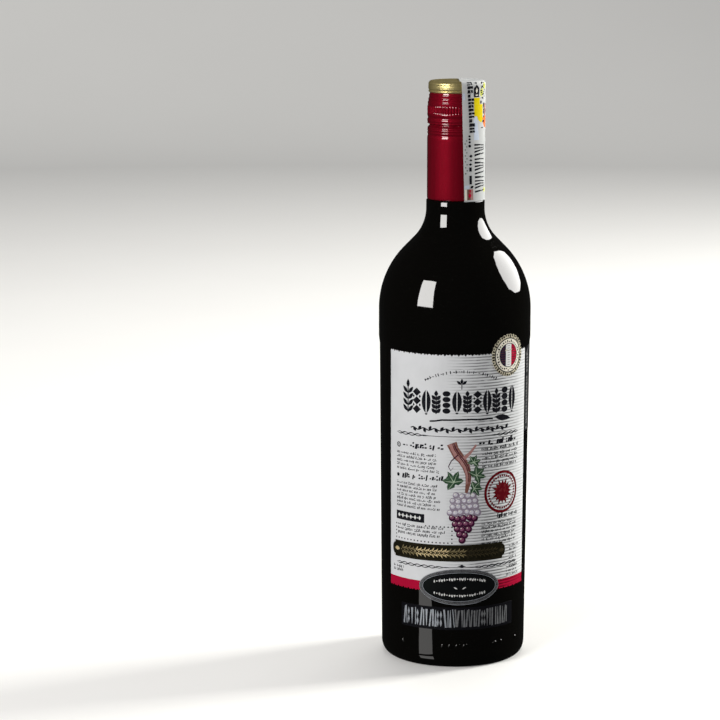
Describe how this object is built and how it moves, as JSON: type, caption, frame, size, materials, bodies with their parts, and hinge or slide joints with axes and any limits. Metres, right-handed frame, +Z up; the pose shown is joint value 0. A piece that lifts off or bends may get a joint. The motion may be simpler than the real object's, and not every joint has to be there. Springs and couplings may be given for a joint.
{
  "type": "wine bottle",
  "caption": "Shut dark glass bottle of red wine with a long crimson screw cap, gold cap top, paper label and stickers.",
  "frame": {"origin": "middle of the base, on the plane that the bottle stands on", "axes": "+Z up along the bottle's axis; the middle of the front label faces -Y; +X is to the right as the label is read"},
  "size_m": [0.0776, 0.0776, 0.297],
  "materials": {
    "dark_glass": "polished, nearly black",
    "cap_red": "satin crimson lacquer",
    "cap_gold": "glossy gold lacquer",
    "label_paper": "laid, matt",
    "seal_paper": "gold paper, satin",
    "pewter_sticker": "dark embossed foil paper",
    "black_film": "satin black film",
    "strip_paper": "smooth, matt",
    "print_dark": "matt ink",
    "print_red": "matt ink",
    "print_metal": "metallic ink"
  },
  "bodies": {
    "root": {"bottle": "dark_glass", "screw_cap": "cap_red", "front_label": "label_paper", "round_seal": "seal_paper", "oval_sticker": "pewter_sticker", "lower_strip": "black_film", "side_label": "black_film", "cap_strip": "strip_paper"}
  },
  "joints": []
}
